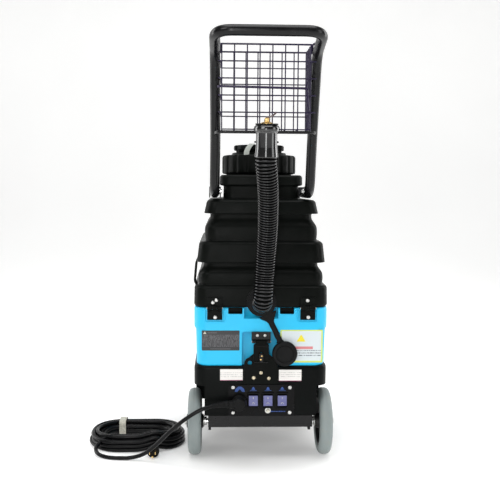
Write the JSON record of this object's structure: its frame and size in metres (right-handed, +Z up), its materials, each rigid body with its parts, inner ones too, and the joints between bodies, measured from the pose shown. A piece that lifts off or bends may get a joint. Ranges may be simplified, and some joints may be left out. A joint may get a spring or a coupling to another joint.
{
  "type": "spot extractor",
  "caption": "Upright portable extractor: black base, blue solution tank, ribbed tip-back recovery tank, basket handle, drain hose.",
  "frame": {"origin": "on the floor, under the centre of the machine's outline without its free cord", "axes": "+Z up; -Y is the operator's side with the handle, switches and large wheels; +X is right as the operator faces the machine"},
  "size_m": [0.5765, 0.653, 0.9206],
  "materials": {
    "black_moulded": "satin rotomoulded polyethylene with a fine texture",
    "blue_moulded": "semi-gloss rotomoulded polyethylene",
    "black_paint": "semi-gloss black powder coat",
    "steel": "zinc plated or brushed",
    "brass": "machined",
    "grey_tyre": "non-marking grey rubber",
    "black_rubber": "matte",
    "cord_jacket": "satin jacket",
    "panel_black": "fine pebble",
    "switch_blue": "translucent lens",
    "lever_red": "dark red dipped"
  },
  "bodies": {
    "frame": {"base_housing": "black_moulded", "chassis_pan": "black_paint", "axle": "steel", "vacuum_motor": "steel", "solution_pump": "black_moulded", "inline_heater": "steel", "solution_coupler": "brass", "switch_panel": "panel_black", "power_inlet": "panel_black", "cord_connector": "black_rubber", "power_cord": "cord_jacket", "power_cord_coil": "cord_jacket", "power_plug": "black_rubber", "solution_tank": "blue_moulded", "pickup_filter": "brass", "hinge_lower_left": "black_moulded", "hinge_lower_right": "black_moulded", "hasp_plate": "black_paint", "hasp_block": "black_paint", "port_cap_strap": "black_rubber", "port_cap": "black_rubber"},
    "recovery": {"recovery_tank": "black_moulded", "vacuum_standpipe": "steel", "vacuum_inlet": "black_moulded", "hinge_upper_left": "black_moulded", "hinge_upper_right": "black_moulded", "handle_frame": "black_paint", "handle_saddle_left": "black_paint", "handle_saddle_right": "black_paint", "basket_rear": "black_paint", "basket_front": "black_paint", "basket_floor": "black_paint", "basket_left": "black_paint", "basket_right": "black_paint", "drain_port": "black_moulded", "drain_elbow": "black_rubber", "drain_hose": "black_rubber", "drain_cuff": "black_rubber", "hose_clip": "steel"},
    "float": {"shutoff_float": "black_moulded"},
    "lid": {"lid_collar": "black_moulded"},
    "filler_cap": {"filler_cap": "black_moulded"},
    "fill_cap": {"solution_fill_cap": "black_moulded"},
    "bung": {"drain_bung": "black_rubber", "bung_stem": "brass"},
    "bung_lever": {"bung_lever": "lever_red"},
    "rocker_heater": {"rocker_heater": "switch_blue"},
    "rocker_pump": {"rocker_pump": "switch_blue"},
    "rocker_vacuum": {"rocker_vacuum": "switch_blue"},
    "breaker": {"breaker_button": "steel"},
    "wheel_left": {"wheel_hub_left": "black_moulded", "tyre_left": "grey_tyre"},
    "wheel_right": {"wheel_hub_right": "black_moulded", "tyre_right": "grey_tyre"},
    "caster_left": {"caster_fork_left": "steel"},
    "caster_right": {"caster_fork_right": "steel"},
    "caster_wheel_left": {"caster_wheel_left": "grey_tyre"},
    "caster_wheel_right": {"caster_wheel_right": "grey_tyre"},
    "hasp_leaf": {"hasp_leaf": "black_paint"},
    "turn_knob": {"turn_knob": "black_paint"}
  },
  "joints": [
    {"name": "recovery_tank_tip", "type": "hinge", "parent": "frame", "child": "recovery", "pos_m": [0, -0.096, 0.35], "axis": [1, 0, 0], "range_deg": [0, 70]},
    {"name": "lid_turn", "type": "hinge", "parent": "recovery", "child": "lid", "pos_m": [0, 0.08, 0.669], "axis": [0, 0, 1], "continuous": true},
    {"name": "filler_cap_turn", "type": "hinge", "parent": "lid", "child": "filler_cap", "pos_m": [0, 0.08, 0.705], "axis": [0, 0, 1], "continuous": true},
    {"name": "solution_fill_cap_turn", "type": "hinge", "parent": "frame", "child": "fill_cap", "pos_m": [-0.072, 0.168, 0.341], "axis": [0, 0, 1], "continuous": true},
    {"name": "float_rise", "type": "slide", "parent": "recovery", "child": "float", "axis": [0, 0, 1], "range_m": [0, 0.022]},
    {"name": "bung_pull", "type": "slide", "parent": "recovery", "child": "bung", "axis": [0, -0.1045, 0.9945], "range_m": [0, 0.045]},
    {"name": "bung_lever_swing", "type": "hinge", "parent": "bung", "child": "bung_lever", "pos_m": [0, -0.24844, 0.75059], "axis": [0, 0.9945, 0.1045], "range_deg": [-100, 20]},
    {"name": "rocker_heater_press", "type": "hinge", "parent": "frame", "child": "rocker_heater", "pos_m": [-0.0167, -0.09, 0.1416], "axis": [1, 0, 0], "range_deg": [0, 14]},
    {"name": "rocker_pump_press", "type": "hinge", "parent": "frame", "child": "rocker_pump", "pos_m": [0.016, -0.09, 0.1416], "axis": [1, 0, 0], "range_deg": [0, 14]},
    {"name": "rocker_vacuum_press", "type": "hinge", "parent": "frame", "child": "rocker_vacuum", "pos_m": [0.048, -0.09, 0.1416], "axis": [1, 0, 0], "range_deg": [0, 14]},
    {"name": "breaker_press", "type": "slide", "parent": "frame", "child": "breaker", "axis": [0, 1, 0], "range_m": [0, 0.003], "stiffness_N_per_m": 500},
    {"name": "wheel_left_spin", "type": "hinge", "parent": "frame", "child": "wheel_left", "pos_m": [-0.1485, -0.03, 0.0762], "axis": [1, 0, 0], "continuous": true},
    {"name": "caster_left_swivel", "type": "hinge", "parent": "frame", "child": "caster_left", "pos_m": [-0.084, 0.258, 0.065], "axis": [0, 0, 1], "continuous": true},
    {"name": "caster_wheel_left_spin", "type": "hinge", "parent": "caster_left", "child": "caster_wheel_left", "pos_m": [-0.084, 0.238, 0.028], "axis": [1, 0, 0], "continuous": true},
    {"name": "wheel_right_spin", "type": "hinge", "parent": "frame", "child": "wheel_right", "pos_m": [0.1485, -0.03, 0.0762], "axis": [1, 0, 0], "continuous": true},
    {"name": "caster_right_swivel", "type": "hinge", "parent": "frame", "child": "caster_right", "pos_m": [0.084, 0.258, 0.065], "axis": [0, 0, 1], "continuous": true},
    {"name": "caster_wheel_right_spin", "type": "hinge", "parent": "caster_right", "child": "caster_wheel_right", "pos_m": [0.084, 0.238, 0.028], "axis": [1, 0, 0], "continuous": true},
    {"name": "hasp_leaf_swing", "type": "hinge", "parent": "frame", "child": "hasp_leaf", "pos_m": [0, -0.0964, 0.275], "axis": [1, 0, 0], "range_deg": [-120, 0]},
    {"name": "turn_knob_turn", "type": "hinge", "parent": "frame", "child": "turn_knob", "pos_m": [0, -0.096, 0.24], "axis": [0, 1, 0], "range_deg": [0, 90]}
  ]
}
